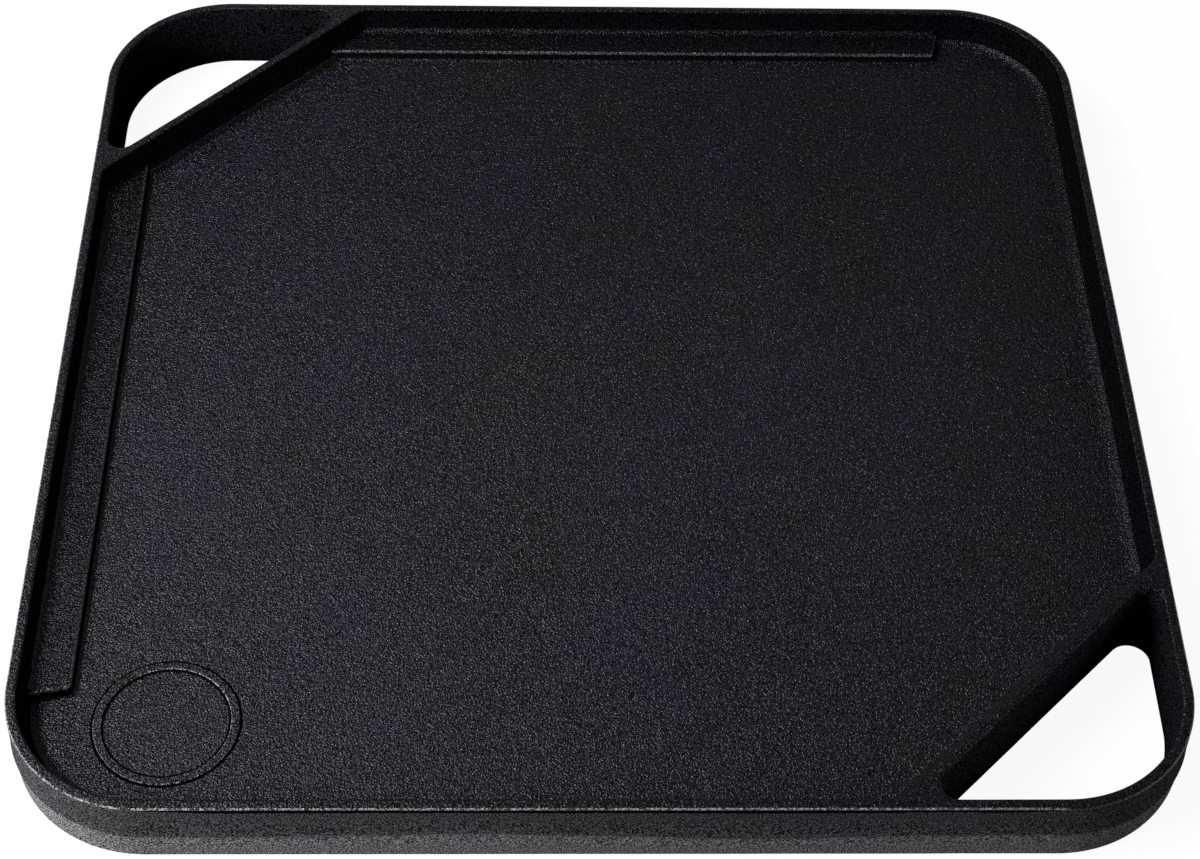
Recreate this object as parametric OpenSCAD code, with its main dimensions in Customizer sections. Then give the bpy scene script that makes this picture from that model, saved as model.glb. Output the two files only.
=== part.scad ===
// Camp griddle plate: a square iron casting with a raised rim and a hand
// opening in two opposite corners. The casting is drawn as its sections,
// which meet face to face. Units are millimetres. The origin is under the
// middle of the plate, on the surface that it stands on, with +Z up, +X to
// the right and +Y to the back.

/* [Plan] */
// Length of each side, across the rim's top edges
plate_side = 280; // [260:1:300]
// Outer radius of the rounded corners
corner_r = 34; // [28:0.5:38]

/* [Rim] */
// Height of the rim, from its resting edge to its top
rim_h = 20.2; // [18:0.1:26]
// Width of the rim's top face, also on the diagonal walls
rim_w = 3; // [2.6:0.1:4]
// Height of the line where the two halves of the mould meet
parting_z = 9.3; // [8:0.1:10.5]
// How far the outer wall swells out at the parting line
outer_draft = 0.5; // [0.2:0.1:1]
// How far the wall over the cooking floor leans in at its foot
tray_draft = 0.8; // [0.2:0.1:1.5]
// How far the wall under the floor leans in at its root
under_draft = 0.4; // [0.1:0.1:1]
// Radius of the rim's top and bottom edges
edge_r = 0.8; // [0.4:0.1:1.1]

/* [Floor] */
// Height of the cooking floor
floor_z = 11; // [10:0.1:13]
// Thickness of the cooking floor
floor_t = 5; // [4:0.1:6]
// Radius of the cove between a wall and the cooking floor
cove_r = 4.2; // [3:0.1:5]
// Radius of the cove between a wall and the floor's underside
under_cove_r = 2.5; // [1:0.1:3]

/* [Handles] */
// Length that a handle corner takes up along each side
handle_leg = 75.3; // [70:0.1:85]
// Height of the parting line in a hand opening
opening_parting_z = 6; // [4:0.1:9]
// How far an opening's walls lean in at its parting line
opening_draft = 0.9; // [0.3:0.1:1.5]
// How far they still stand in at the resting edge
opening_foot = 0.6; // [0.1:0.1:1.2]
// Radius of an opening's sharp ends at the top
opening_end_r = 3.8; // [2.8:0.1:4.5]
// How much that radius grows down to the resting edge
opening_end_growth = 1.8; // [0:0.1:2.5]

/* [Strips] */
// Distance from the outer edge of the rim to the strip's inner edge
strip_reach = 13.8; // [12:0.1:18]
// Height of a strip above the cooking floor
strip_h = 2.6; // [1.5:0.1:3]
// How far a strip's side leans out at its foot
strip_draft = 0.8; // [0.1:0.1:1]
// Distance from a strip's end, at its inner edge, to the start of the corner
strip_stop = 2.9; // [2.9:0.1:10]
// How much further a strip runs at the wall than at its inner edge
strip_slant = 2.8; // [0.5:0.1:2.8]
// Radius of a strip's free corner in plan
strip_corner_r = 2; // [1:0.1:3]
// Radius of a strip's top edge
strip_edge_r = 0.7; // [0.3:0.1:1]

/* [Ring] */
// Outer diameter of the raised ring
ring_d = 35; // [28:0.1:38]
// Width of the ring's band
ring_band = 2.4; // [1.6:0.1:3]
// Height of the ring above the cooking floor
ring_h = 0.5; // [0.4:0.1:1]
// How far each side of the band leans in at its top
ring_draft = 0.35; // [0.1:0.05:0.5]
// Distance from the left side to the ring's centre
ring_from_left = 37.1; // [34:0.1:60]
// Distance from the front side to the ring's centre
ring_from_front = 29.4; // [28:0.1:60]

/* [Hidden] */

$fn = 96;
iron = "#232427";

// Points on an edge's quarter arc, on a cove and on an opening's plan arcs
edge_steps = 4;
cove_steps = 8;
plan_steps = 12;
// Room by which a cutting shape stands past what it cuts
past = 2;

half = plate_side / 2;
corner_c = half - corner_r;
under_z = floor_z - floor_t;

// Profiles are drawn outward from a corner's centre, so the same one is
// turned round a corner or pushed along a side
rim_inner_r = corner_r - rim_w;
foot_w = max(tray_draft + cove_r, under_draft + under_cove_r);
seat_r = rim_inner_r - foot_w;

// Places in plan, from the middle of the plate: the rim's inner top edge and
// the edge of the floor plate
inner = half - rim_w;
seat = inner - foot_w;

// A diagonal line in plan is named by the sum of its distances from the
// middle along X and Y: the diagonal wall's two top edges and its seat on the
// floor plate
wall_d = plate_side - handle_leg;
opening_d = wall_d + rim_w * sqrt(2);
seat_d = wall_d - foot_w * sqrt(2);

// The radius of a hand opening's sharp end at a height, before the walls'
// lean, and the end's centre across and along the nearer side. The loop starts
// where the end's arc runs out at the resting edge, where it is widest.
function end_r(z) = opening_end_r + opening_end_growth * (rim_h - z) / rim_h;
function end_across(z) = inner - end_r(z);
function end_along(z) = opening_d + end_r(z) * sqrt(2) - end_across(z);
loop_start = end_along(0);

// Where a diagonal wall meets the rim's inner top edge, and how that meeting
// moves along the side for each millimetre further in
mitre = wall_d - inner;
mitre_slope = tan(22.5);

ring_r = ring_d / 2;

function arc(centre, r, from, to, steps) = [
    for (i = [0 : steps])
        let (a = from + (to - from) * i / steps)
        centre + r * [cos(a), sin(a)]
];

// The rim's outside, from its resting edge up to its top face
outer_side = concat(
    arc([corner_r - edge_r, edge_r], edge_r, -90, 0, edge_steps),
    [[corner_r + outer_draft, parting_z]],
    arc([corner_r - edge_r, rim_h - edge_r], edge_r, 0, 90, edge_steps)
);

top_inner_edge = arc([rim_inner_r + edge_r, rim_h - edge_r], edge_r, 90, 180, edge_steps);
function bottom_inner_edge(r) = arc([r + edge_r, edge_r], edge_r, 180, 270, edge_steps);

// The wall of a hand opening, from the top face down
opening_side = concat(
    top_inner_edge,
    [[rim_inner_r - opening_draft, opening_parting_z]],
    bottom_inner_edge(rim_inner_r - opening_foot)
);

// The wall over the floor, the cove, the floor's edge at depth r, the cove
// under the floor and the wall below it, from the top face down
function tray_side(r) = concat(
    top_inner_edge,
    arc([rim_inner_r - tray_draft - cove_r, floor_z + cove_r], cove_r, 0, -90, cove_steps),
    [[r, floor_z], [r, under_z]],
    arc([rim_inner_r - under_draft - under_cove_r, under_z - under_cove_r],
        under_cove_r, 90, 0, cove_steps),
    bottom_inner_edge(rim_inner_r)
);

// The seat is where the wider cove ends, so that cove's last point is left out
function without_repeats(points) = [
    for (i = [0 : len(points) - 1])
        if (norm(points[i] - points[(i + 1) % len(points)]) > 0.001) points[i]
];

rim_profile = without_repeats(concat(outer_side, tray_side(seat_r)));
corner_profile = without_repeats(concat(outer_side, tray_side(0)));
loop_profile = concat(outer_side, opening_side);

// A profile pushed along the back side from one X to another
module back_run(profile, from, to) {
    translate([from, corner_c, 0])
        rotate([90, 0, 90])
            linear_extrude(to - from)
                polygon(profile);
}

// A profile turned round the back right corner
module back_right_turn(profile) {
    translate([corner_c, corner_c, 0])
        rotate_extrude(angle = 90)
            polygon(profile);
}

// An upright cutter with the given plan, taller than the rim
module plan_cutter(points) {
    translate([0, 0, -past])
        linear_extrude(rim_h + 2 * past)
            polygon(points);
}

// The back rim as far as its mitre with the diagonal wall at its left end
module rim_section() {
    depth = foot_w + past;
    color(iron)
        intersection() {
            back_run(rim_profile, -half, corner_c);
            plan_cutter([
                [-mitre, half + past],
                [-mitre, inner],
                [-mitre + mitre_slope * depth, inner - depth],
                [half, inner - depth],
                [half, half + past]
            ]);
        }
}

module corner_section() {
    color(iron)
        back_right_turn(corner_profile);
}

// Handles are drawn at the back right and then turned to their corners.
// The loop is the bar round the opening, between the opening's sharp ends.
module handle_loop_section() {
    color(iron)
        union() {
            back_run(loop_profile, loop_start, corner_c);
            back_right_turn(loop_profile);
            mirror([1, -1, 0])
                back_run(loop_profile, loop_start, corner_c);
        }
}

// A solid block that has the rim's outside along the back
module outside_block() {
    depth = corner_r - handle_leg - foot_w - past;
    back_run(concat(outer_side, [[depth, rim_h], [depth, 0]]), corner_c - plate_side, half + past);
}

// A solid block that has the diagonal wall's side towards the floor, from
// its seat on the floor plate, and fills the corner behind it
module diagonal_block() {
    depth = rim_inner_r + handle_leg;
    rotate(-45)
        translate([0, wall_d / sqrt(2) - rim_inner_r - corner_c, 0])
            back_run(
                without_repeats(concat([[depth, 0], [depth, rim_h]], tray_side(seat_r))),
                -half, half
            );
}

// Plan of a hand opening at height z, grown by d on all sides
function opening_plan(d, z) = concat(
    arc([corner_c, corner_c], rim_inner_r + d, 0, 90, plan_steps),
    arc([end_along(z), end_across(z)], end_r(z) + d, 90, 225, plan_steps),
    arc([end_across(z), end_along(z)], end_r(z) + d, 225, 360, plan_steps)
);

// The hand opening as a solid, with its walls' draft and rounded edges
module opening() {
    levels = concat(
        [[edge_r - opening_foot, -past]],
        [for (i = [len(opening_side) - 1 : -1 : 0])
            [opening_side[i].x - rim_inner_r, opening_side[i].y]],
        [[edge_r, rim_h + past]]
    );
    count = len(opening_plan(0, 0));
    last = len(levels) - 1;
    polyhedron(
        points = [
            for (level = levels, p = opening_plan(level.x, level.y)) [p.x, p.y, level.y]
        ],
        faces = concat(
            [[for (i = [0 : count - 1]) i]],
            [[for (i = [count - 1 : -1 : 0]) last * count + i]],
            [for (k = [0 : last - 1], i = [0 : count - 1])
                let (j = (i + 1) % count)
                [k * count + i, (k + 1) * count + i, (k + 1) * count + j, k * count + j]]
        )
    );
}

// The diagonal wall with the two short lengths of rim that it joins, and the
// webs that fill the sharp ends of the opening
module handle_wall_section() {
    depth = foot_w + past;
    side_end = [inner - depth, mitre - mitre_slope * depth];
    loop_side = end_across(0);
    color(iron)
        difference() {
            intersection() {
                outside_block();
                mirror([1, -1, 0])
                    outside_block();
                diagonal_block();
                plan_cutter([
                    side_end,
                    [inner, mitre],
                    [half + past, mitre],
                    [half + past, loop_start],
                    [loop_side, loop_start],
                    [loop_start, loop_side],
                    [loop_start, half + past],
                    [mitre, half + past],
                    [mitre, inner],
                    [side_end.y, side_end.x]
                ]);
            }
            opening();
        }
}

// The floor between the seats, square-notched for the two rounded corners
module floor_plate() {
    seat_end = seat_d - seat;
    color(iron)
        translate([0, 0, under_z])
            linear_extrude(floor_t)
                polygon([
                    [-corner_c, -seat], [seat_end, -seat],
                    [seat, -seat_end], [seat, corner_c],
                    [corner_c, corner_c],
                    [corner_c, seat], [-seat_end, seat],
                    [-seat, seat_end], [-seat, -corner_c],
                    [-corner_c, -corner_c]
                ]);
}

// The strip along the back, which lies on the floor and the back rim's cove
// and runs up against the diagonal wall
module strip_section() {
    top = floor_z + strip_h;
    front_r = corner_r - strip_reach;
    foot = half - strip_reach - strip_draft;
    end = corner_c - strip_stop;
    color(iron)
        difference() {
            intersection() {
                back_run(
                    concat(
                        [[front_r - strip_draft, floor_z], [rim_inner_r, floor_z], [rim_inner_r, top]],
                        arc([front_r + strip_edge_r, top - strip_edge_r], strip_edge_r, 90, 180, edge_steps)
                    ),
                    -half, corner_c
                );
                plan_cutter(concat(
                    [
                        [half - opening_d, half],
                        [foot - past - opening_d, foot - past],
                        [end - strip_corner_r, foot - past]
                    ],
                    arc([end - strip_corner_r, foot + strip_corner_r], strip_corner_r, -90, 0, edge_steps),
                    [[end + strip_slant, half]]
                ));
            }
            back_run(rim_profile, -half - past, corner_c + past);
            rotate(90)
                diagonal_block();
        }
}

module emblem_ring() {
    color(iron)
        translate([ring_from_left - half, ring_from_front - half, floor_z])
            rotate_extrude()
                polygon([
                    [ring_r - ring_band, 0],
                    [ring_r, 0],
                    [ring_r - ring_draft, ring_h],
                    [ring_r - ring_band + ring_draft, ring_h]
                ]);
}

// What is drawn at the back, turned to the left, where its handle end is
// the far one
module to_left() {
    rotate(90)
        mirror([1, 0, 0])
            children();
}

module rim_back() { rim_section(); }
module rim_front() { rotate(180) rim_section(); }
module rim_left() { to_left() rim_section(); }
module rim_right() { rotate(180) to_left() rim_section(); }

module corner_back_right() { corner_section(); }
module corner_front_left() { rotate(180) corner_section(); }

module handle_loop_back_left() { rotate(90) handle_loop_section(); }
module handle_loop_front_right() { rotate(270) handle_loop_section(); }
module handle_wall_back_left() { rotate(90) handle_wall_section(); }
module handle_wall_front_right() { rotate(270) handle_wall_section(); }

module strip_back() { strip_section(); }
module strip_left() { to_left() strip_section(); }

floor_plate();
rim_front();
rim_right();
rim_back();
rim_left();
corner_front_left();
corner_back_right();
handle_loop_back_left();
handle_loop_front_right();
handle_wall_back_left();
handle_wall_front_right();
strip_back();
strip_left();
emblem_ring();
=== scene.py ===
"""Camp griddle plate: a square sand-cast iron plate with two hand openings, on a white studio floor."""
import math

import bmesh
import bpy
import numpy as np
from mathutils import Matrix, Vector, noise


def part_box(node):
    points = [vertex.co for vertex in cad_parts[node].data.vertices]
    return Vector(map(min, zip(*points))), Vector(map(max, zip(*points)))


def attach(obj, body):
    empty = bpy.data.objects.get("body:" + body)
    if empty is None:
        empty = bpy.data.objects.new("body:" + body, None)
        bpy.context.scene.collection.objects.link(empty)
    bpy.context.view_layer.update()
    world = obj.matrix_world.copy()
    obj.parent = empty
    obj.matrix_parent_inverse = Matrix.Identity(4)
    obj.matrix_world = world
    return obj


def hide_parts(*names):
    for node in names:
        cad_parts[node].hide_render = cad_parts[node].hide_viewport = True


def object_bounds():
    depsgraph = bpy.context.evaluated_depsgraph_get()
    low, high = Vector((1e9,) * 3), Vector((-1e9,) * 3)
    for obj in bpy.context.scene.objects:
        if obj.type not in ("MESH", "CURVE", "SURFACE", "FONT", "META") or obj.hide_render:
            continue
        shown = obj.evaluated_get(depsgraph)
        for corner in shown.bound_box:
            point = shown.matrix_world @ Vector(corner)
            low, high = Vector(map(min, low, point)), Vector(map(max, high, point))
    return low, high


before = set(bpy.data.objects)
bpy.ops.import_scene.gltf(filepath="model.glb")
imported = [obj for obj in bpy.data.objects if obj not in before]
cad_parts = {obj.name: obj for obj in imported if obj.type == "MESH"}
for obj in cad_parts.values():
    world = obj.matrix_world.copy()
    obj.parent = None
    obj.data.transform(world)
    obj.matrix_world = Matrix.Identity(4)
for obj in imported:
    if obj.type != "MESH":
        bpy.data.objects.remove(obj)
cad_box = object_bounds()
scene = bpy.context.scene
MM = 0.001

# Sizes of the casting in metres, from the frame where it shows them
OUTER_DRAFT = 0.5 * MM
HALF = cad_box[1].x - OUTER_DRAFT
RIM_H = cad_box[1].z
UNDER_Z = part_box("floor_plate")[0].z
FLOOR_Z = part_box("floor_plate")[1].z
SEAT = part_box("floor_plate")[1].x
STRIP_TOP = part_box("strip_back")[1].z
RING_LOW, RING_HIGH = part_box("emblem_ring")
CORNER_R = 34 * MM
RIM_W = 3 * MM
EDGE_R = 0.8 * MM
PARTING_Z = 9.3 * MM
TRAY_DRAFT = 0.8 * MM
COVE_R = 4.2 * MM
UNDER_DRAFT = 0.4 * MM
UNDER_COVE_R = 2.5 * MM
HANDLE_LEG = 75.3 * MM
OPENING_PARTING_Z = 6 * MM
OPENING_DRAFT = 0.9 * MM
OPENING_FOOT = 0.6 * MM
OPENING_END_R = 3.8 * MM
OPENING_END_GROWTH = 1.8 * MM
STRIP_REACH = 13.8 * MM
STRIP_DRAFT = 0.8 * MM
STRIP_STOP = 2.9 * MM
STRIP_SLANT = 2.8 * MM
STRIP_CORNER_R = 2 * MM
STRIP_EDGE_R = 0.9 * MM
RING_BAND = 2.4 * MM
RING_DRAFT = 0.35 * MM

# Finer shapes: the mould's seam, and the fillets between walls, floor and strips
SEAM_RIDGE = 0.15 * MM
SEAM_HALF_W = 0.45 * MM
WALL_FILLET_R = 5.6 * MM
WALL_EDGE_FLAT = 0.25 * MM
STRIP_FOOT_R = 1.5 * MM
STRIP_COVE_R = 2.2 * MM
STRIP_COVE_FADE = 0.8 * MM
RING_EDGE_R = 0.2 * MM
RING_FOOT_R = 0.9 * MM
SUNK = 0.3 * MM

# Wandering of the seam and unevenness of the sand mould: how far, and how many waves to a metre
SEAM_WANDER = ((1.6 * MM, 15), (0.3 * MM, 90))
UNEVEN = ((0.10 * MM, 28), (0.04 * MM, 110))

# Spacing of points along walls and over the floor, and counts of steps and points on smaller shapes
STEP = 1.6 * MM
FLOOR_STEP = 2.5 * MM
EDGE_STEPS = 6
EDGE_SHADE_STEPS = 4
COVE_STEPS = 14
UNDER_COVE_STEPS = 7
TRAY_WALL_POINTS = 7
UNDER_WALL_POINTS = 3
FILLET_STEPS = 4
OPENING_END_STEPS = 14
OPENING_LEG_POINTS = 4
STRIP_BEND_STEPS = 8
STRIP_END_POINTS = 6
RING_STEPS = 180

# Rows of points across the seam's ridge, as shares of its half width, and across a strip's top
SEAM_SHARES = (-1, -0.6, -0.25, 0, 0.25, 0.6, 1)
STRIP_SHARES = (0.04, 0.2, 0.4, 0.6, 0.7, 0.8, 0.85, 0.9, 0.95, 1.0)

# Places are compared to the nearest SAME_PLACE, a grid point up to GRID_SLACK past an edge still lies
# on it, and faces that meet at more than CREASE keep a crease.
SAME_PLACE = 1e-4 * MM
GRID_SLACK = 1e-3 * MM
CREASE = math.radians(50)

# Places in plan that follow from those sizes. A diagonal line is named by the sum of its
# distances from the middle along X and Y. A rim turns by twice HALF_TURN into a diagonal wall.
ROOT_2 = math.sqrt(2)
HALF_TURN_DEGREES = 22.5
HALF_TURN = math.radians(HALF_TURN_DEGREES)
DIAGONAL_DEGREES = 2 * HALF_TURN_DEGREES
CORNER_C = HALF - CORNER_R
INNER = HALF - RIM_W
INNER_R = CORNER_R - RIM_W
FOOT_W = INNER - SEAT
SEAT_R = INNER_R - FOOT_W
WALL_D = 2 * HALF - HANDLE_LEG
OPENING_D = WALL_D + RIM_W * ROOT_2
SEAT_D = WALL_D - FOOT_W * ROOT_2
MITRE = WALL_D - INNER
FILLET_ACROSS = INNER - WALL_FILLET_R
FILLET_ALONG = MITRE - WALL_FILLET_R * math.tan(HALF_TURN)

# Where finishes change, with their painted highlights and shade. Slopes are the upward part of a face's
# normal.
STEEP = 0.7
LEVEL = 0.97
WORN_HIGHLIGHT_FROM = 0.3
RUBBED_HIGHLIGHT_TO = 0.85
WORN_HIGHLIGHT_DEPTH = 0.6 * MM
OUTSIDE_DEPTH = 1.2 * MM
OPENING_DEPTH = 2 * MM
EDGE_SHADE = 1.0 * MM
EDGE_SHADE_FADE = 14 * MM


def spread(start, end, step):
    """Evenly spaced numbers from start to end, about one step apart."""
    return np.linspace(start, end, max(2, round(abs(end - start) / step) + 1))


def arc(centre, r, start, end, steps):
    """Points on an arc, by angles in degrees."""
    angles = np.radians(np.linspace(start, end, steps + 1))
    return [(centre[0] + r * math.cos(a), centre[1] + r * math.sin(a)) for a in angles]


def line(start, end, count):
    """Points on a straight line, both ends among them."""
    return [tuple(p) for p in np.linspace(start, end, count)]


# Profiles: points of (r, z, share). r runs outward from a corner's centre, and share is how
# much of the seam's wandering a point takes part in.

def seam_share(z):
    """1 at the seam, falling to 0 at the wall's top and bottom edges."""
    reach = RIM_H - EDGE_R - PARTING_Z if z > PARTING_Z else PARTING_Z - EDGE_R
    return max(0.0, 1 - abs(z - PARTING_Z) / reach)


def edge_inset(z):
    """How far the round of a top or bottom edge has drawn in from the wall."""
    rise = max(0.0, EDGE_R - z, z - (RIM_H - EDGE_R))
    return EDGE_R - math.sqrt(max(0.0, EDGE_R ** 2 - rise ** 2))


def swell(z, draft):
    """How far a drafted wall stands out at a height, with the ridge of its seam."""
    ridge = max(0.0, 1 - abs(z - PARTING_Z) / SEAM_HALF_W)
    return (draft - SEAM_RIDGE) * seam_share(z) + SEAM_RIDGE * math.sqrt(ridge) - edge_inset(z)


def wall_heights():
    """Heights up a drafted wall: its round edges, its seam, the flats between and its shaded top."""
    edge = EDGE_R * (1 - np.cos(np.linspace(0, math.pi / 2, EDGE_STEPS + 1)))
    seam = PARTING_Z + SEAM_HALF_W * np.array(SEAM_SHARES)
    shade = np.linspace(RIM_H - EDGE_R - EDGE_SHADE, RIM_H - EDGE_R, EDGE_SHADE_STEPS + 1)
    lower = spread(EDGE_R, seam[0], STEP)[1:-1]
    upper = spread(seam[-1], shade[0], STEP)[1:-1]
    return np.concatenate([edge, lower, seam, upper, shade[:-1], RIM_H - edge[::-1]])


def opening_lean(z):
    """How far the wall of a hand opening leans in at a height, less the round of its edges."""
    heights = (EDGE_R, OPENING_PARTING_Z, RIM_H - EDGE_R)
    return np.interp(z, heights, (OPENING_FOOT, OPENING_DRAFT, 0)) - edge_inset(z)


def opening_end(z):
    """Radius of a hand opening's sharp end at a height, with its centre across and along the side."""
    r = OPENING_END_R + OPENING_END_GROWTH * (RIM_H - z) / RIM_H
    across = INNER - r
    return r, across, OPENING_D + r * ROOT_2 - across


def outer_side():
    """The rim's outside, from its resting edge up."""
    return [(CORNER_R + swell(z, OUTER_DRAFT), z, seam_share(z)) for z in wall_heights()]


def opening_side():
    """The wall of a hand opening, from the top down."""
    return [(INNER_R - opening_lean(z), z, 0) for z in wall_heights()[::-1]]


def tray_upper():
    """The wall over the floor and its cove, from the top down."""
    edge = arc((INNER_R + EDGE_R, RIM_H - EDGE_R), EDGE_R, 90, 180, EDGE_STEPS)
    cove = arc((SEAT_R, FLOOR_Z + COVE_R), COVE_R, 0, -90, COVE_STEPS)
    wall = line(edge[-1], cove[0], TRAY_WALL_POINTS)[1:-1]
    return [(r, z, 0) for r, z in edge + wall + cove]


def tray_lower():
    """The cove under the floor and the wall below it, from the floor down."""
    cove_r = INNER_R - UNDER_DRAFT - UNDER_COVE_R
    cove = arc((cove_r, UNDER_Z - UNDER_COVE_R), UNDER_COVE_R, 90, 0, UNDER_COVE_STEPS)
    edge = arc((INNER_R + EDGE_R, EDGE_R), EDGE_R, 180, 270, EDGE_STEPS)
    wall = line(cove[-1], edge[0], UNDER_WALL_POINTS)[1:-1]
    return [(r, z, 0) for r, z in cove + wall + edge]


def leaning_side(height, lean, edge_r, foot_r):
    """The side of a raised form, up from the floor: a fillet at its foot, a lean and a round edge.

    Points are (grown, z), where grown is 0 at the foot of the plain side.
    """
    angle = math.atan2(lean, height)
    foot_at = foot_r * (1 - math.sin(angle)) / math.cos(angle)
    edge_z = height - edge_r
    edge_at = -(edge_r + edge_z * math.sin(angle)) / math.cos(angle)
    degrees = math.degrees(angle)
    foot = arc((foot_at, FLOOR_Z + foot_r), foot_r, -90, degrees - 180, EDGE_STEPS)
    edge = arc((edge_at, FLOOR_Z + edge_z), edge_r, degrees, 90, EDGE_STEPS)
    return [(foot[0][0], FLOOR_Z - SUNK)] + foot + edge


LOOP_START = opening_end(0)[2]
TOP_MIDDLE = [(CORNER_R - RIM_W / 2, RIM_H, 0)]
BOTTOM_MIDDLE = [(CORNER_R - RIM_W / 2, 0.0, 0)]


def rim_profile():
    """Outside, top, tray side, seat on the floor plate, underside and bottom."""
    seat = [(SEAT_R, UNDER_Z, 0)]
    return outer_side() + TOP_MIDDLE + tray_upper() + seat + tray_lower() + BOTTOM_MIDDLE


def corner_profile():
    """The rim's profile with the floor carried on to the corner's centre."""
    radii = spread(SEAT_R, 0, FLOOR_STEP)[1:]
    upper = [(r, FLOOR_Z, 0) for r in radii]
    under = [(r, UNDER_Z, 0) for r in np.append(radii[::-1], SEAT_R)]
    return outer_side() + TOP_MIDDLE + tray_upper() + upper + under + tray_lower() + BOTTOM_MIDDLE


def loop_profile():
    """The bar round a hand opening."""
    return outer_side() + TOP_MIDDLE + opening_side() + BOTTOM_MIDDLE


def wander(x, y):
    """How far the seam strays up or down at a place in plan."""
    return sum(rise * noise.noise(Vector((x, y, 0)) * waves) for rise, waves in SEAM_WANDER)


# Materials: seasoned black iron with the grain of the sand that it was cast in. Scales of grain are
# cells to a metre, and depths are how far it stands out.
PATCH_SCALE = 38
PATCH_DETAIL = 4
PATCH_ROUGHNESS = 0.6
SAND_SCALE = 900
SAND_DEPTH = 0.16 * MM
FINE_SCALE = 2000
FINE_DEPTH = 0.32 * MM
SPECKLE_SCALE = 1900
OUTSIDE_SPECKLE_SCALE = 2600
SPECKLE_MIDDLE = 0.52
SPECKLE_FADE = 0.12
TINT_FROM = 0.40
TINT_TO = 0.60
TINT_GREEN = 0.97
GLOSS_FROM = 0.3
GLOSS_TO = 0.7
GLOSSY_ROUGHNESS = 0.15
DULL_ROUGHNESS = 0.22
IRON_IOR = 1.5
SPECULAR_TINT = (0.91, 0.90, 1.0, 1.0)
WHITE = (1.0, 1.0, 1.0)


def grey(tone):
    """A colour without a tint."""
    return (tone, tone, tone)


class Nodes:
    """Makes and joins the nodes of one material or world."""

    def __init__(self, owner):
        owner.use_nodes = True
        self.tree = owner.node_tree
        self.tree.nodes.clear()

    def add(self, kind, inputs=None, **settings):
        """A node, with each input set to a value or joined to a socket."""
        made = self.tree.nodes.new(kind)
        for name, value in settings.items():
            setattr(made, name, value)
        for name, value in (inputs or {}).items():
            if isinstance(value, bpy.types.NodeSocket):
                self.tree.links.new(value, made.inputs[name])
            else:
                made.inputs[name].default_value = value
        return made

    def math(self, operation, first, second):
        return self.add("ShaderNodeMath", {0: first, 1: second}, operation=operation).outputs[0]

    def ramp(self, value, low, high):
        """Two colours, each with its place between 0 and 1."""
        made = self.add("ShaderNodeValToRGB", {"Fac": value})
        for element, (position, colour) in zip(made.color_ramp.elements, (low, high)):
            element.position = position
            element.color = (*colour, 1)
        return made.outputs["Color"]

    def multiply(self, first, second):
        """One colour times another."""
        inputs = {0: 1.0, 6: first, 7: second}
        return self.add("ShaderNodeMix", inputs, data_type="RGBA", blend_type="MULTIPLY").outputs[2]

    def grain(self, place, scale, detail=1, roughness=0.5):
        """Noise between 0 and 1."""
        inputs = {"Vector": place, "Scale": scale, "Detail": detail, "Roughness": roughness}
        return self.add("ShaderNodeTexNoise", inputs).outputs["Fac"]

    def bump(self, height, depth, under=None):
        """A normal from a height, over another normal if one is given."""
        inputs = {"Strength": 1.0, "Distance": depth, "Height": height}
        if under:
            inputs["Normal"] = under
        return self.add("ShaderNodeBump", inputs).outputs[0]


def iron_material(name, dark, light, specular, relief=1.0, blue=1.32, speckles=SPECKLE_SCALE):
    """Iron with speckles between two tones, a bluish tint in patches and a grain of some relief."""
    material = bpy.data.materials.new(name)
    nodes = Nodes(material)
    place = nodes.add("ShaderNodeTexCoord").outputs["Object"]
    patches = nodes.grain(place, PATCH_SCALE, PATCH_DETAIL, PATCH_ROUGHNESS)
    sand = nodes.bump(nodes.grain(place, SAND_SCALE), SAND_DEPTH * relief)
    normal = nodes.bump(nodes.grain(place, FINE_SCALE), FINE_DEPTH * relief, sand)
    speckled = nodes.ramp(
        nodes.grain(place, speckles),
        (SPECKLE_MIDDLE - SPECKLE_FADE, grey(dark)),
        (SPECKLE_MIDDLE + SPECKLE_FADE, grey(light)),
    )
    tint = nodes.ramp(patches, (TINT_FROM, WHITE), (TINT_TO, (1.0, TINT_GREEN, blue)))
    gloss = nodes.add("ShaderNodeMapRange", {
        "Value": patches, "From Min": GLOSS_FROM, "From Max": GLOSS_TO,
        "To Min": GLOSSY_ROUGHNESS, "To Max": DULL_ROUGHNESS,
    })
    surface = nodes.add("ShaderNodeBsdfPrincipled", {
        "Base Color": nodes.multiply(speckled, tint), "Roughness": gloss.outputs[0], "Normal": normal,
        "IOR": IRON_IOR, "Specular IOR Level": specular, "Specular Tint": SPECULAR_TINT,
    })
    nodes.add("ShaderNodeOutputMaterial", {"Surface": surface.outputs[0]})
    return material


FINISHES = []


def add_finish(name, **look):
    """Makes a finish, and gives its number among those that every piece carries."""
    FINISHES.append(iron_material(name, **look))
    return len(FINISHES) - 1


# Level faces, and those that face down
OPEN = add_finish("seasoned_iron", dark=0.0005, light=0.0155, specular=0.36, relief=1.1, blue=1.6)
# Edges of the strips: worn, and painted lighter as a painted highlight
WORN_HIGHLIGHT = add_finish(
    "seasoned_iron_worn_edge_highlight", dark=0.002, light=0.065, specular=0.60, relief=0.8, blue=1.1)
# Coves, edges that aren't rubbed and the tops of the strips, darker as painted shade
DULL_SHADE = add_finish("seasoned_iron_cove_and_strip_shade", dark=0.0003, light=0.006, specular=0.27)
# Steep walls have no specular, or they would mirror the white floor. First those inside the rim,
# darkened as painted shade, and the painted shade line under its outer edge.
RECESS_SHADE = add_finish("seasoned_iron_recess_shade", dark=0.0004, light=0.0048, specular=0.0)
# The ring's sides and foot, near black as painted shade
RING_FOOT_SHADE = add_finish("seasoned_iron_ring_foot_shade", dark=0.0003, light=0.004, specular=0.0)
# The rim's top
TOP = add_finish("seasoned_iron_top", dark=0.0005, light=0.012, specular=0.28, relief=0.9)
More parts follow.
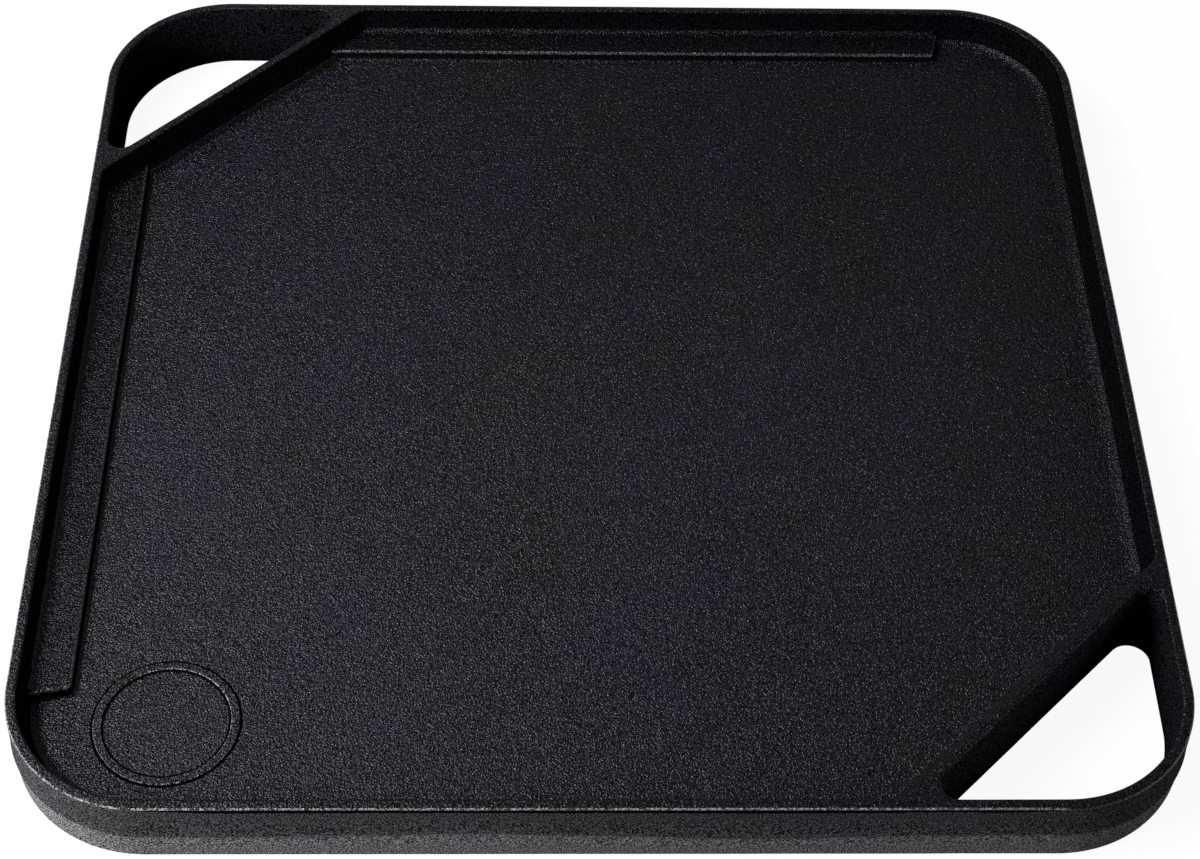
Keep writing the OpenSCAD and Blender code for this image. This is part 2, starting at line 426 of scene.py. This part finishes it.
# The outer wall, above and below its seam, painted lighter as a painted reflection of the white floor,
# more so below the seam
OUTSIDE = add_finish(
    "seasoned_iron_outside_reflection", dark=0.004, light=0.075, specular=0.0, relief=0.75, blue=1.05,
    speckles=OUTSIDE_SPECKLE_SCALE)
BELOW_SEAM = add_finish(
    "seasoned_iron_below_seam_reflection", dark=0.02, light=0.215, specular=0.0, relief=0.85, blue=1.02,
    speckles=OUTSIDE_SPECKLE_SCALE)
# The rim's outer edge and the ring's edges: worn, and painted lighter as a painted highlight
RUBBED_HIGHLIGHT = add_finish(
    "seasoned_iron_rubbed_edge_highlight", dark=0.001, light=0.23, specular=0.7, relief=1.4, blue=1.02)
# Walls of the hand openings: along the grip bars, and on the diagonal walls. Both are painted lighter
# than the tray's walls, as painted light bounced from the floor under the openings, most on the
# diagonal walls.
GRIP_BOUNCE_LIGHT = add_finish("seasoned_iron_grip_bounce_light", dark=0.0005, light=0.012, specular=0.0)
OPENING_BOUNCE_LIGHT = add_finish("seasoned_iron_opening_bounce_light", dark=0.002, light=0.034, specular=0.0)


def outline_gap(x, y):
    """How far a place in plan lies outside the plate's outline, or below 0 inside it."""
    return math.hypot(max(0.0, abs(x) - CORNER_C), max(0.0, abs(y) - CORNER_C)) - CORNER_R


def side_place(place):
    """How far a place on a side lies from the middle of that side. Past CORNER_C it is on a corner."""
    return min(abs(place.x), abs(place.y))


def edge_finish(place, normal, worn_highlight_top, inside):
    """The finish of a worn top edge, painted lighter as a painted highlight, or darker as painted shade
    on a handle's curve. None on any other face.
    """
    near_top = -WORN_HIGHLIGHT_DEPTH < place.z - worn_highlight_top <= 0
    if not near_top or not WORN_HIGHLIGHT_FROM < normal.z < LEVEL:
        return None
    if worn_highlight_top < RIM_H:
        return WORN_HIGHLIGHT if worn_highlight_top == STRIP_TOP else RUBBED_HIGHLIGHT
    if inside or normal.z >= RUBBED_HIGHLIGHT_TO:
        return None
    on_handle_curve = place.x * place.y < 0 and side_place(place) > CORNER_C
    return DULL_SHADE if on_handle_curve else RUBBED_HIGHLIGHT


def wall_finish(place, inside):
    """The finish of a steep face: painted bounce light in a hand opening, painted shade round the tray
    and under the outer edge, or a painted reflection of the floor on the outside.
    """
    diagonal = abs(place.x - place.y)
    if inside and diagonal > (WALL_D + OPENING_D) / 2:
        return OPENING_BOUNCE_LIGHT if diagonal < OPENING_D + OPENING_DEPTH else GRIP_BOUNCE_LIGHT
    shade = EDGE_SHADE * min(1.0, (CORNER_C - side_place(place)) / EDGE_SHADE_FADE)
    if inside or (shade > 0 and place.z > RIM_H - EDGE_R - shade):
        return RECESS_SHADE
    return OUTSIDE if place.z > PARTING_Z + wander(place.x, place.y) else BELOW_SEAM


def finish_of(place, normal, worn_highlight_top):
    """Which finish a face has, from where it is and which way it faces, with the painted highlight or
    shade that goes with it.
    """
    inside = outline_gap(place.x, place.y) < -OUTSIDE_DEPTH
    edge = edge_finish(place, normal, worn_highlight_top, inside)
    if edge is not None:
        return edge
    if normal.z > LEVEL or normal.z < -STEEP:
        return OPEN
    return DULL_SHADE if normal.z > STEEP else wall_finish(place, inside)


# Sheets of points: rows of equal length, joined by four-sided faces. A point is its place and its
# share of the seam's wandering.

def skin(rows, closed=True):
    """Points and faces over rows of points, each row a closed ring or an open line."""
    count = len(rows[0])
    points = [p for row in rows for p in row]
    faces = []
    for k in range(len(rows) - 1):
        for i in range(count if closed else count - 1):
            j = (i + 1) % count
            faces.append((k * count + i, k * count + j, (k + 1) * count + j, (k + 1) * count + i))
    return points, faces


def end_rings(rows):
    """The first and last rows as faces."""
    count = len(rows[0])
    last = (len(rows) - 1) * count
    return [tuple(range(count)), tuple(range(last, last + count))]


def without_repeats(points, faces):
    """Joins points that lie in one place, and drops what that leaves of flat faces."""
    places = np.round(np.array(points) / SAME_PLACE).astype(np.int64)
    _, first, label = np.unique(places, axis=0, return_index=True, return_inverse=True)
    label = label.reshape(-1)
    rings = []
    for face in faces:
        ring = [int(label[i]) for i in face]
        rings.append([v for k, v in enumerate(ring) if v != ring[k - 1]])
    return [points[i] for i in first], rings


def unevenness(place):
    """How far the casting falls short of its pattern at a place. It never stands out past it."""
    return sum(depth * (0.5 + 0.5 * noise.noise(place * waves)) for depth, waves in UNEVEN)


def plan_turn(quarter_turns, mirrored=False):
    """A move from the back or the back right to another side of the plate."""
    turn = Matrix.Rotation(quarter_turns * math.pi / 2, 3, "Z")
    flip = Matrix.Diagonal((-1.0 if mirrored else 1.0, 1.0, 1.0))
    return turn @ flip


IN_PLACE = plan_turn(0)


def set_down(point, move):
    """A point moved to its side of the plate, with its share of the seam's wandering there."""
    x, y, z, share = point
    place = move @ Vector((x, y, z))
    place.z += share * wander(place.x, place.y)
    return tuple(place)


def shown_normals(bm, kept):
    """For each point, the sum of the normals of its faces that show, weighed by their areas."""
    facing = [Vector() for _ in bm.verts]
    for face, (_, shows) in zip(bm.faces, kept):
        if shows:
            weight = face.normal * face.calc_area()
            for vert in face.verts:
                facing[vert.index] += weight
    return facing


def make_piece(name, points, shown, hidden, move=IN_PLACE, worn_highlight_top=RIM_H, painted_shade_below=0.0, on_top=TOP):
    """One section of the casting in place of its node. The faces that show are uneven as cast."""
    points, rings = without_repeats(points, shown + hidden)
    kept = [(ring, k < len(shown)) for k, ring in enumerate(rings) if len(ring) > 2]
    mesh = bpy.data.meshes.new(name)
    mesh.from_pydata([set_down(point, move) for point in points], [], [ring for ring, _ in kept])
    bm = bmesh.new()
    bm.from_mesh(mesh)
    bmesh.ops.recalc_face_normals(bm, faces=bm.faces)
    facing = shown_normals(bm, kept)
    for face in bm.faces:
        place = face.calc_center_median()
        finish = RING_FOOT_SHADE if place.z < painted_shade_below else finish_of(place, face.normal, worn_highlight_top)
        if finish == OPEN and place.z > worn_highlight_top - WORN_HIGHLIGHT_DEPTH:
            finish = on_top
        face.material_index = finish
    for vert in bm.verts:
        vert.co -= facing[vert.index].normalized() * unevenness(vert.co)
    bm.to_mesh(mesh)
    bm.free()
    mesh.shade_smooth()
    mesh.set_sharp_from_angle(angle=CREASE)
    for material in FINISHES:
        mesh.materials.append(material)
    piece = bpy.data.objects.new(name + "_cast", mesh)
    scene.collection.objects.link(piece)
    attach(piece, "root")
    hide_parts(name)


# Sections of the casting

def make_rim(name, move):
    """A straight rim from a rounded corner to the middle of its fillet into a diagonal wall."""
    profile = rim_profile()
    rows = [
        [(x, CORNER_C + r, z, share) for r, z, share in profile]
        for x in spread(CORNER_C, -FILLET_ALONG, STEP)
    ]
    for turn in np.linspace(0, HALF_TURN, FILLET_STEPS + 1)[1:]:
        row = []
        for r, z, share in profile:
            y = CORNER_C + r
            x = -FILLET_ALONG - math.tan(turn) * (y - FILLET_ACROSS)
            if r <= INNER_R + EDGE_R:
                reach = WALL_FILLET_R + r - INNER_R
                x = -FILLET_ALONG - reach * math.sin(turn)
                y = FILLET_ACROSS + reach * math.cos(turn)
            row.append((x, y, z, share))
        rows.append(row)
    points, faces = skin(rows)
    seat = profile.index((SEAT_R, UNDER_Z, 0)) - 1
    shown = [face for k, face in enumerate(faces) if k % len(profile) != seat]
    hidden = [face for k, face in enumerate(faces) if k % len(profile) == seat]
    make_piece(name, points, shown, hidden + end_rings(rows), move)


def corner_rows(profile):
    """A profile turned about the centre of the back right corner, from the back to the right."""
    angles = np.radians(np.linspace(90, 0, round(CORNER_R * math.pi / 2 / STEP) + 1))
    return [
        [(CORNER_C + r * math.cos(a), CORNER_C + r * math.sin(a), z, share) for r, z, share in profile]
        for a in angles
    ]


def make_corner(name, move):
    """A rounded corner of the rim, with its quarter of the floor."""
    rows = corner_rows(corner_profile())
    points, faces = skin(rows)
    make_piece(name, points, faces, end_rings(rows), move)


def make_loop(name, move):
    """The bar round a hand opening: a leg along each side and the corner between."""
    profile = loop_profile()
    leg = spread(LOOP_START, CORNER_C, STEP)[:-1]
    rows = [[(x, CORNER_C + r, z, share) for r, z, share in profile] for x in leg]
    rows += corner_rows(profile)
    rows += [[(CORNER_C + r, y, z, share) for r, z, share in profile] for y in leg[::-1]]
    points, faces = skin(rows)
    make_piece(name, points, faces, end_rings(rows), move)


def wall_levels():
    """Heights down a handle wall, each with how far its floor side stands back from its top edge."""
    seam = [z for z in wall_heights()[::-1] if UNDER_Z < z < FLOOR_Z]
    upper = [(r - INNER_R, z) for r, z, _ in tray_upper()]
    seat = [(-FOOT_W, z) for z in seam + [UNDER_Z]]
    lower = [(r - INNER_R, z) for r, z, _ in tray_lower()]
    flat = WALL_EDGE_FLAT + EDGE_R
    return [(flat, RIM_H)] + upper + seat + lower + [(flat, 0.0)]


def wall_outline(stand_back, z, inset):
    """Plan of a handle wall at one height, as stretches of points. Each is a name and its points."""
    outside = HALF + swell(z, OUTER_DRAFT) - inset
    end_r, end_across, end_along = opening_end(z)
    fillet_r = WALL_FILLET_R + stand_back
    side_fillet = arc((FILLET_ACROSS, FILLET_ALONG), fillet_r,
                      HALF_TURN_DEGREES, DIAGONAL_DEGREES, FILLET_STEPS)
    back_fillet = arc((FILLET_ALONG, FILLET_ACROSS), fillet_r,
                      DIAGONAL_DEGREES, 90 - HALF_TURN_DEGREES, FILLET_STEPS)
    back_end = arc((end_along, end_across), end_r - opening_lean(z) + inset,
                   90, 180 + DIAGONAL_DEGREES, OPENING_END_STEPS)
    back_leg = line((LOOP_START, back_end[0][1]), back_end[0], OPENING_LEG_POINTS)[:-1]
    side_end = [(y, x) for x, y in back_end[::-1]]
    side_leg = [(y, x) for x, y in back_leg[::-1]]
    count = len(spread(0, (INNER - MITRE) * ROOT_2, STEP))
    outer_count = len(spread(MITRE, LOOP_START, STEP))
    floor_side = line(side_fillet[-1], back_fillet[0], count)
    opening_wall = line(back_end[-1], side_end[0], count)
    cut = (outside - FILLET_ACROSS) * math.tan(HALF_TURN) + FILLET_ALONG
    return [
        ("floor", side_fillet[:-1] + floor_side + back_fillet[1:]),
        ("outside", line((cut, outside), (LOOP_START, outside), outer_count)),
        ("opening", back_leg + back_end[:-1] + opening_wall + side_end[1:] + side_leg),
        ("outside", line((outside, LOOP_START), (outside, cut), outer_count)),
    ]


def make_handle_wall(name, move):
    """The diagonal wall of a handle corner, with the ends of the rims that it joins."""
    levels = wall_levels()
    rows = []
    for k, (stand_back, z) in enumerate(levels):
        inset = WALL_EDGE_FLAT if k in (0, len(levels) - 1) else 0.0
        row = []
        cuts = []
        for stretch, plan in wall_outline(stand_back, z, inset):
            share = seam_share(z) if stretch == "outside" else 0
            row += [(x, y, z, share) for x, y in plan]
            cuts.append(len(row) - 1)
        rows.append(row)
    points, faces = skin(rows)
    shown = []
    hidden = []
    for n, face in enumerate(faces):
        k, i = divmod(n, len(rows[0]))
        upper, lower = levels[k][1], levels[k + 1][1]
        seated = i < cuts[0] and UNDER_Z <= lower < upper <= FLOOR_Z
        if seated or i in cuts:
            hidden.append(face)
        else:
            shown.append(face)
    make_piece(name, points, shown + end_rings(rows), hidden, move)


def floor_lines():
    """Lines of the floor's grid. They run through its notches and meet on its diagonal edges."""
    end = SEAT_D - SEAT
    near = SEAT_D - CORNER_C
    side = np.concatenate([
        spread(end, near, FLOOR_STEP),
        spread(near, CORNER_C, FLOOR_STEP)[1:],
        spread(CORNER_C, SEAT, FLOOR_STEP)[1:],
    ])
    return np.concatenate([-side[::-1], spread(-end, end, FLOOR_STEP)[1:-1], side])


def floor_cells(lines):
    """Faces of the floor's top, on a square grid of points. Those at a diagonal edge are triangles."""
    size = len(lines)
    cells = []
    for i in range(size - 1):
        for j in range(size - 1):
            x, y = (lines[i] + lines[i + 1]) / 2, (lines[j] + lines[j + 1]) / 2
            if min(x, y) > CORNER_C or max(x, y) < -CORNER_C:
                continue
            cell = ((i, j), (i + 1, j), (i + 1, j + 1), (i, j + 1))
            inside = [a * size + b for a, b in cell if abs(lines[a] - lines[b]) < SEAT_D + GRID_SLACK]
            if len(inside) > 2:
                cells.append(tuple(inside))
    return cells


def make_floor(name):
    """The cooking floor, as a grid on its top and its underside."""
    lines = floor_lines()
    count = len(lines) ** 2
    top = floor_cells(lines)
    under = [tuple(v + count for v in face[::-1]) for face in top]
    edges = {(face[k - 1], face[k]) for face in top for k in range(len(face))}
    sides = [(b, a, a + count, b + count) for a, b in sorted(edges) if (b, a) not in edges]
    points = [(x, y, z, 0) for z in (FLOOR_Z, UNDER_Z) for x in lines for y in lines]
    used = sorted({v for face in top + under for v in face})
    renumber = {v: k for k, v in enumerate(used)}
    shown = [tuple(renumber[v] for v in face) for face in top + under]
    hidden = [tuple(renumber[v] for v in face) for face in sides]
    make_piece(name, [points[v] for v in used], shown, hidden)


def strip_path(grown):
    """A strip's free edge in plan, grown outward: along its front, round its corner and up its end."""
    front = HALF - STRIP_REACH - STRIP_DRAFT
    end = CORNER_C - STRIP_STOP
    wall = INNER - SUNK
    corner = (end - STRIP_CORNER_R, front + STRIP_CORNER_R)
    bend = arc(corner, STRIP_CORNER_R + grown, -90, 0, STRIP_BEND_STEPS)
    start = (front - WALL_D, front - grown)
    lean = STRIP_SLANT * (wall - corner[1]) / (HALF - corner[1])
    finish = (end + lean + grown, wall)
    count = len(spread(start[0], corner[0], STEP))
    return line(start, bend[0], count)[:-1] + bend + line(bend[-1], finish, STRIP_END_POINTS)[1:]


def strip_top_rows(inner_edge, spine, wall):
    """Rows over a strip's top, from its edge to its spine in the wall, with a cove up to the wall."""
    cove_start = wall - STRIP_COVE_R
    cove_end = CORNER_C - STRIP_STOP + STRIP_SLANT - STRIP_DRAFT - STRIP_EDGE_R
    rows = []
    for across in STRIP_SHARES:
        row = []
        for (x, y, z, _), (spine_x, spine_y) in zip(inner_edge, spine):
            x += (spine_x - x) * across
            y += (spine_y - y) * across
            into_cove = max(0.0, y - cove_start)
            rise = STRIP_COVE_R - math.sqrt(max(0.0, STRIP_COVE_R ** 2 - into_cove ** 2))
            fade = min(1.0, max(0.0, (cove_end - x) / STRIP_COVE_FADE))
            row.append((x, y, z + rise * fade, 0))
        rows.append(row)
    return rows


def make_strip(name, move):
    """A low strip beside the back wall, with a small fillet at its foot and a rounded edge."""
    side = leaning_side(STRIP_TOP - FLOOR_Z, STRIP_DRAFT, STRIP_EDGE_R, STRIP_FOOT_R)
    rows = [[(x, y, z, 0) for x, y in strip_path(grown)] for grown, z in side]
    count = len(rows[0])
    wall = INNER - TRAY_DRAFT + SUNK / 2
    spine = line((wall - WALL_D, wall), (rows[-1][-1][0], wall), count)
    rows += strip_top_rows(rows[-1], spine, wall)
    rows.append([(x, y, FLOOR_Z - SUNK, 0) for x, y in spine])
    points, faces = skin(rows, closed=False)
    last = (len(rows) - 1) * count
    shown, back = faces[:-(count - 1)], faces[-(count - 1):]
    ends = [tuple(k * count + i for k in range(len(rows))) for i in (0, count - 1)]
    base = tuple(range(count)) + tuple(range(last + count - 1, last - 1, -1))
    # The strip's top is darker, as painted shadow of the wall beside it.
    make_piece(name, points, shown, back + ends + [base], move, STRIP_TOP, on_top=DULL_SHADE)


def make_ring(name):
    """A low raised ring with leaning sides and rounded edges."""
    centre = (RING_LOW + RING_HIGH) / 2
    middle_r = (RING_HIGH.x - RING_LOW.x) / 2 - RING_BAND / 2
    side = leaning_side(RING_HIGH.z - FLOOR_Z, RING_DRAFT, RING_EDGE_R, RING_FOOT_R)
    outer = [(RING_BAND / 2 + grown, z) for grown, z in side]
    profile = outer + [(-r, z) for r, z in outer[::-1]]
    rows = [
        [(centre.x + (middle_r + r) * math.cos(a), centre.y + (middle_r + r) * math.sin(a), z, 0)
         for r, z in profile]
        for a in np.linspace(0, 2 * math.pi, RING_STEPS + 1)
    ]
    points, faces = skin(rows)
    # Below its rounded edges the ring's sides and foot take painted shade.
    painted_shade_below = RING_HIGH.z - RING_EDGE_R
    make_piece(name, points, faces, [], IN_PLACE, RING_HIGH.z, painted_shade_below, on_top=OPEN)


make_floor("floor_plate")
make_rim("rim_back", plan_turn(0))
make_rim("rim_front", plan_turn(2))
make_rim("rim_left", plan_turn(1, mirrored=True))
make_rim("rim_right", plan_turn(3, mirrored=True))
make_corner("corner_back_right", plan_turn(0))
make_corner("corner_front_left", plan_turn(2))
make_loop("handle_loop_back_left", plan_turn(1))
make_loop("handle_loop_front_right", plan_turn(3))
make_handle_wall("handle_wall_back_left", plan_turn(1))
make_handle_wall("handle_wall_front_right", plan_turn(3))
make_strip("strip_back", plan_turn(0))
make_strip("strip_left", plan_turn(1, mirrored=True))
make_ring("emblem_ring")

# Studio: a white floor under a pale horizon. Heights of the sky are the upward part of a direction.
STAGE_HALF = 5.0
STAGE_GLOW = 0.93
STAGE_TONE = 0.1
HORIZON_TO = 0.06
CEILING_FROM = 0.16
CEILING_TONE = 0.08

# Lamps: where each stands, its side in metres, its power in watts and whether reflections show it
LAMPS = {
    "overhead_softbox": ((-0.58, 0.06, 0.87), 0.4, 7.6, True),
    "side_panel": ((-0.42, -0.30, 0.18), 0.2, 4.1, False),
    "fill_panel": ((0.75, -0.35, 0.30), 0.3, 1.2, True),
    "back_panel": ((-0.3, 1.2, 1.3), 1.4, 0.8, True),
}

# Camera: how far it is turned from the plate's front, raised and tilted, and where it looks
CAMERA_YAW = math.radians(-2.287)
CAMERA_PITCH = math.radians(49.498)
CAMERA_ROLL = math.radians(1.935)
CAMERA_TARGET = Vector((1.157, -9.621, 0)) * MM
CAMERA_DISTANCE = 667.83 * MM
SENSOR_W_MM = 36
LENS_MM = 75.16
CLIP_START = 0.01


def stage_material():
    """White to the eye and in reflections, and dim as a surface, so that it keeps a soft shadow."""
    material = bpy.data.materials.new("studio_white")
    nodes = Nodes(material)
    path = nodes.add("ShaderNodeLightPath").outputs
    seen = nodes.math("MAXIMUM", path["Is Camera Ray"], path["Is Glossy Ray"])
    seen = nodes.math("MAXIMUM", seen, path["Is Transmission Ray"])
    glow = nodes.add("ShaderNodeEmission", {"Strength": nodes.math("MULTIPLY", seen, STAGE_GLOW)})
    paper = nodes.add("ShaderNodeBsdfDiffuse", {"Color": (*grey(STAGE_TONE), 1)})
    both = nodes.add("ShaderNodeAddShader", {0: glow.outputs[0], 1: paper.outputs[0]})
    nodes.add("ShaderNodeOutputMaterial", {"Surface": both.outputs[0]})
    return material


def make_stage():
    """A wide white floor."""
    corners = [(-1, -1, 0), (1, -1, 0), (1, 1, 0), (-1, 1, 0)]
    mesh = bpy.data.meshes.new("studio_floor")
    mesh.from_pydata([Vector(corner) * STAGE_HALF for corner in corners], [], [(0, 1, 2, 3)])
    mesh.materials.append(stage_material())
    floor = bpy.data.objects.new("studio_floor", mesh)
    scene.collection.objects.link(floor)


def make_softbox(name, place, size, power, mirrored):
    """A square area light that faces the middle of the plate."""
    data = bpy.data.lights.new(name, "AREA")
    data.shape = "SQUARE"
    data.size = size
    data.energy = power
    light = bpy.data.objects.new(name, data)
    scene.collection.objects.link(light)
    light.visible_camera = False
    light.visible_glossy = mirrored
    turn = (-Vector(place)).to_track_quat("-Z", "Y").to_matrix().to_4x4()
    light.matrix_world = Matrix.Translation(place) @ turn


def make_world():
    """A pale horizon under a dim ceiling."""
    world = bpy.data.worlds.new("studio")
    scene.world = world
    nodes = Nodes(world)
    direction = nodes.add("ShaderNodeTexCoord").outputs["Generated"]
    height = nodes.add("ShaderNodeSeparateXYZ", {0: direction}).outputs["Z"]
    tone = nodes.ramp(height, (HORIZON_TO, WHITE), (CEILING_FROM, grey(CEILING_TONE)))
    sky = nodes.add("ShaderNodeBackground", {"Color": tone, "Strength": 1.0})
    nodes.add("ShaderNodeOutputWorld", {"Surface": sky.outputs[0]})


def make_camera():
    """A camera at the photograph's angle, from a fit to the plate's outline."""
    data = bpy.data.cameras.new("camera")
    data.sensor_width = SENSOR_W_MM
    data.lens = LENS_MM
    data.clip_start = CLIP_START
    camera = bpy.data.objects.new("camera", data)
    scene.collection.objects.link(camera)
    level = Vector((math.cos(CAMERA_YAW), math.sin(CAMERA_YAW), 0))
    back = Vector((
        math.sin(CAMERA_YAW) * math.cos(CAMERA_PITCH),
        -math.cos(CAMERA_YAW) * math.cos(CAMERA_PITCH),
        math.sin(CAMERA_PITCH),
    ))
    upright = back.cross(level)
    right = math.cos(CAMERA_ROLL) * level + math.sin(CAMERA_ROLL) * upright
    up = math.cos(CAMERA_ROLL) * upright - math.sin(CAMERA_ROLL) * level
    turn = Matrix((right, up, back)).transposed().to_4x4()
    camera.matrix_world = Matrix.Translation(CAMERA_TARGET + back * CAMERA_DISTANCE) @ turn
    scene.camera = camera


make_stage()
for lamp, (place, size, power, mirrored) in LAMPS.items():
    make_softbox(lamp, place, size, power, mirrored)
make_world()
make_camera()
scene.view_settings.view_transform = "Standard"
scene.cycles.use_denoising = False
